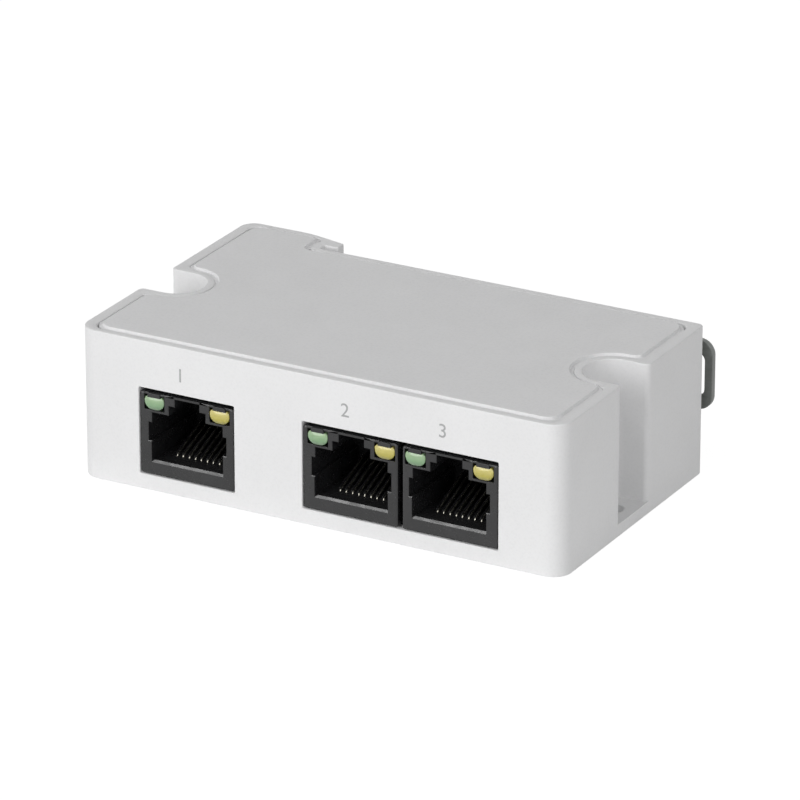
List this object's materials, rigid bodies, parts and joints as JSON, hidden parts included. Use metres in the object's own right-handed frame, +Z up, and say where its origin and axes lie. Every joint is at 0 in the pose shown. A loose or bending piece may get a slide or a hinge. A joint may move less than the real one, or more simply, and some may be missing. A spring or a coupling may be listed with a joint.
{
  "type": "network power extender",
  "caption": "Small white in-line network power extender: one input and two output sockets with lamps, side screw notches, and a sprung rail clip at the back.",
  "frame": {"origin": "midway between the two wall screw holes, on the underside", "axes": "+X along the front to the viewer's right, +Y from the socket face to the rail clip, +Z up through the cover"},
  "size_m": [0.0806, 0.0499, 0.0237],
  "materials": {
    "white_plastic": "fine even moulded texture, matte white",
    "cover_plastic": "fine even moulded texture, matte white",
    "black_plastic": "moulded black, satin",
    "carrier_plastic": "moulded black",
    "contact_metal": "bright plated wire",
    "green_lens": "clear tinted lens",
    "yellow_lens": "clear tinted lens",
    "package_black": "moulded epoxy package",
    "capacitor_can": "drawn can",
    "ferrite": "pressed ferrite",
    "crystal_can": "drawn can",
    "ceramic": "fired ceramic",
    "board_green": "solder mask over glass fibre",
    "screw_steel": "plated steel",
    "latch_steel": "dark plated sheet steel",
    "spring_steel": "drawn spring wire"
  },
  "bodies": {
    "extender": {"input_socket": "black_plastic", "input_contacts": "contact_metal", "input_carrier": "carrier_plastic", "input_green_lamp": "green_lens", "input_yellow_lamp": "yellow_lens", "input_magnetics": "package_black", "input_controller": "package_black", "output_socket": "black_plastic", "output_contacts": "contact_metal", "output_carrier": "carrier_plastic", "output_green_lamp": "green_lens", "output_yellow_lamp": "yellow_lens", "output_magnetics": "package_black", "output_controller": "package_black", "camera_socket": "black_plastic", "camera_contacts": "contact_metal", "camera_carrier": "carrier_plastic", "camera_green_lamp": "green_lens", "camera_yellow_lamp": "yellow_lens", "camera_magnetics": "package_black", "camera_controller": "package_black", "housing": "white_plastic", "top_cover": "cover_plastic", "bulk_capacitor": "capacitor_can", "output_capacitor": "capacitor_can", "power_coil": "ferrite", "rectifier_1": "package_black", "rectifier_2": "package_black", "switch_chip": "package_black", "clock_crystal": "crystal_can", "small_parts": "ceramic", "circuit_board": "board_green", "board_screws": "screw_steel", "latch_spring": "spring_steel"},
    "latch": {"rail_latch": "latch_steel"}
  },
  "joints": [
    {"name": "latch_slide", "type": "slide", "parent": "extender", "child": "latch", "axis": [1, 0, 0], "range_m": [0, 0.003], "stiffness_N_per_m": 600, "deforming": ["latch_spring"]}
  ]
}
